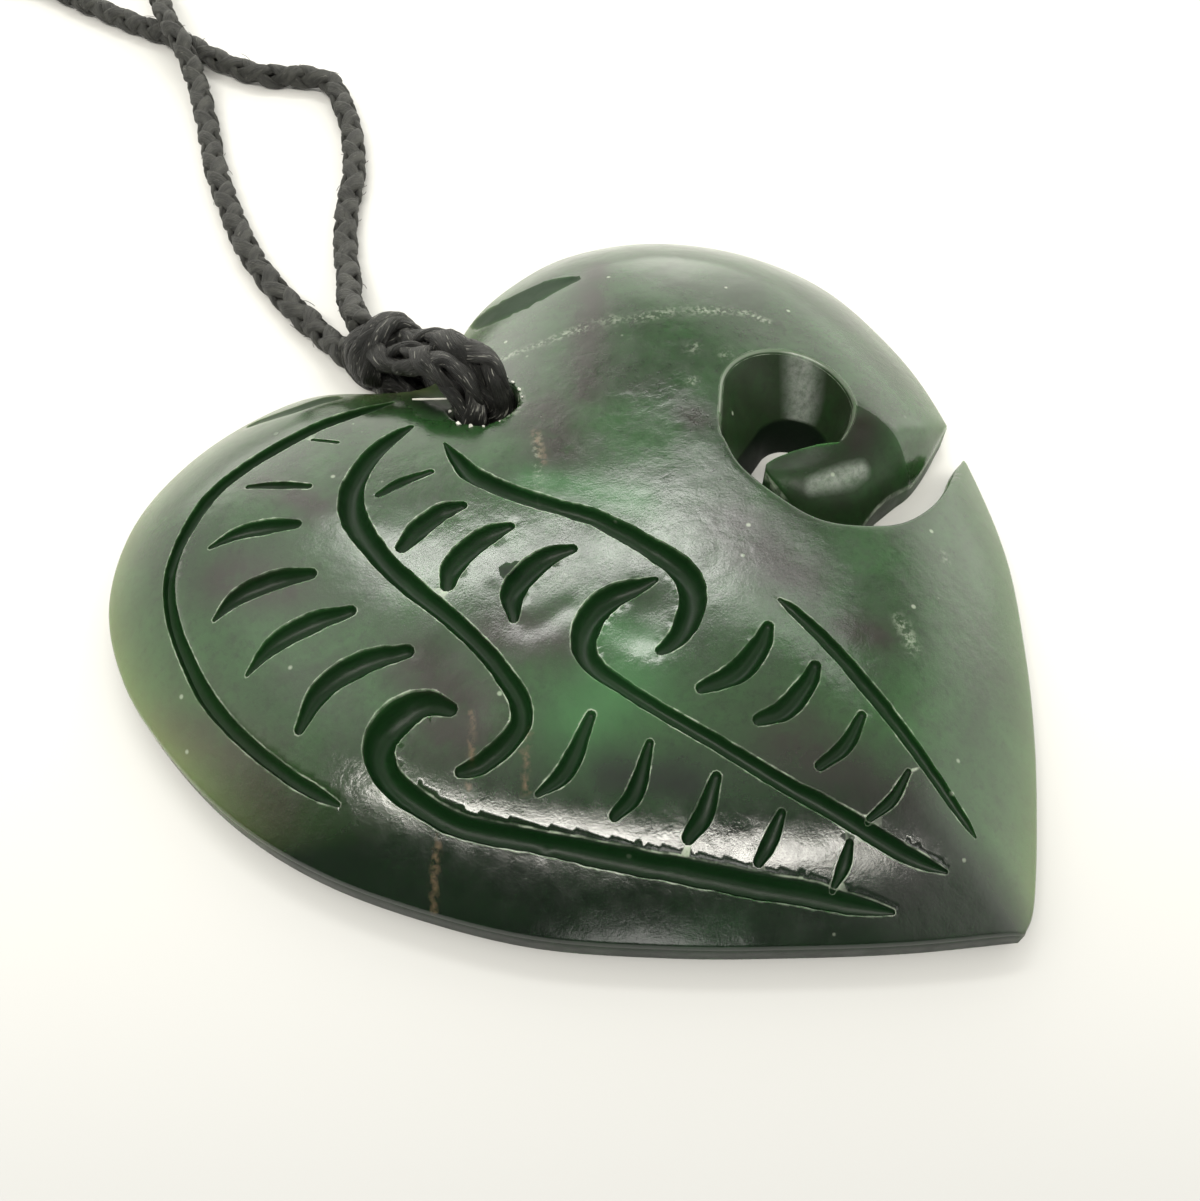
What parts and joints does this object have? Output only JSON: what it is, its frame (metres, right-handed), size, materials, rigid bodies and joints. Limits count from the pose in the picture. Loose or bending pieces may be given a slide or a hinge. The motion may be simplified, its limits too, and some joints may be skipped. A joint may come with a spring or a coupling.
{
  "type": "greenstone heart pendant",
  "caption": "Flat-backed carved greenstone heart with a pierced spiral, grooved leaf lines and short notches, on a plaited neck cord that runs through a hole at its cleft.",
  "frame": {"origin": "middle of the heart's flat back, on the surface that it lies on", "axes": "+Y from the heart's tip towards its cleft and the cord, +X to the right as the front is seen with the tip down, +Z out of the carved front"},
  "size_m": [0.0692, 0.2243, 0.0095],
  "materials": {
    "greenstone": "polished",
    "waxed_cord": "waxed"
  },
  "bodies": {
    "root": {"heart_stone": "greenstone", "loop_left": "waxed_cord", "loop_right": "waxed_cord", "collar_knot": "waxed_cord", "cord_left": "waxed_cord", "cord_right": "waxed_cord", "closure_knot": "waxed_cord"}
  },
  "joints": []
}
